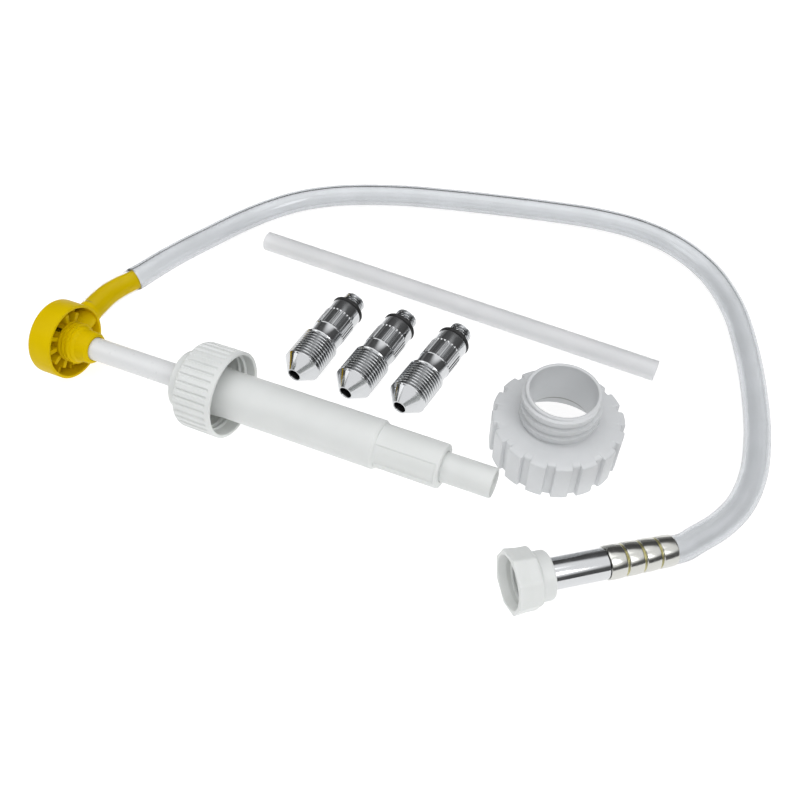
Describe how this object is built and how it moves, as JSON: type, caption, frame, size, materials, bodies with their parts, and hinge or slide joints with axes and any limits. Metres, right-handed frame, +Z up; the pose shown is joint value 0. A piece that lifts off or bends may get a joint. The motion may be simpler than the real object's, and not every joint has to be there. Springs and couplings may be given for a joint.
{
  "type": "gear oil pump",
  "caption": "Hand pump for gear oil: palm head on a sprung rod, barrel with screw collar, clear hose with crimped fitting, dip tube, bottle adapter ring and threaded filler adapters.",
  "frame": {"origin": "on the floor, under the middle of the box round the pump and its loose fittings, the hose and its fitting left out", "axes": "+X along the pump's axis from the head to the barrel's tip, +Z up from the floor that the kit lies on"},
  "size_m": [0.3491, 0.2758, 0.0435],
  "materials": {
    "yellow_plastic": "moulded yellow polypropylene, satin",
    "white_plastic": "moulded white polypropylene, satin",
    "rod_plastic": "smooth drawn white plastic",
    "adapter_plastic": "moulded grey-white plastic",
    "milky_plastic": "translucent polyethylene",
    "clear_hose": "clear PVC",
    "chrome_plate": "bright chrome plating",
    "zinc_steel": "yellow-passivated zinc on crimped steel",
    "bright_steel": "bright spring and ball steel",
    "black_rubber": "black nitrile rubber",
    "grey_rubber": "dark grey sealing rubber"
  },
  "bodies": {
    "plunger": {"pump_head": "yellow_plastic", "piston_rod": "rod_plastic", "piston_stem": "white_plastic", "hose_tube": "clear_hose", "hose_end": "clear_hose", "hose_ferrule": "zinc_steel", "fitting_pipe": "chrome_plate", "nut_washer": "grey_rubber", "dip_tube": "milky_plastic", "bottle_adapter": "adapter_plastic", "adapter_gasket": "grey_rubber", "filler_adapter_1": "chrome_plate", "filler_adapter_2": "chrome_plate", "filler_adapter_3": "chrome_plate", "adapter_o_ring_1": "black_rubber", "adapter_o_ring_2": "black_rubber", "adapter_o_ring_3": "black_rubber"},
    "piston": {"piston_seal": "grey_rubber"},
    "barrel": {"pump_barrel": "white_plastic", "rod_guide": "white_plastic", "rod_seal": "black_rubber", "valve_cage": "white_plastic", "bottle_gasket": "grey_rubber", "return_spring": "bright_steel"},
    "collar": {"screw_collar": "white_plastic"},
    "inlet_valve": {"inlet_ball": "bright_steel"},
    "outlet_valve": {"outlet_ball": "bright_steel"},
    "nut": {"union_nut": "white_plastic"}
  },
  "joints": [
    {"name": "head_turn", "type": "hinge", "parent": "plunger", "child": "piston", "pos_m": [-0.03656, -0.0538, 0.022], "axis": [0.9997, 0, 0.0264], "continuous": true},
    {"name": "barrel_stroke", "type": "slide", "parent": "piston", "child": "barrel", "axis": [-0.9997, 0, -0.0264], "range_m": [0, 0.05], "stiffness_N_per_m": 250, "springref_m": -0.025, "deforming": ["return_spring"]},
    {"name": "collar_turn", "type": "hinge", "parent": "barrel", "child": "collar", "pos_m": [-0.03656, -0.0538, 0.022], "axis": [0.9997, 0, 0.0264], "continuous": true},
    {"name": "inlet_ball_lift", "type": "slide", "parent": "barrel", "child": "inlet_valve", "axis": [-0.9997, 0, -0.0264], "range_m": [0, 0.002]},
    {"name": "outlet_ball_lift", "type": "slide", "parent": "plunger", "child": "outlet_valve", "axis": [-0.9997, 0, -0.0264], "range_m": [0, 0.0018]},
    {"name": "nut_turn", "type": "hinge", "parent": "plunger", "child": "nut", "pos_m": [0.12746, -0.08079, 0.01301], "axis": [-0.7779, -0.6232, 0.0802], "continuous": true}
  ]
}
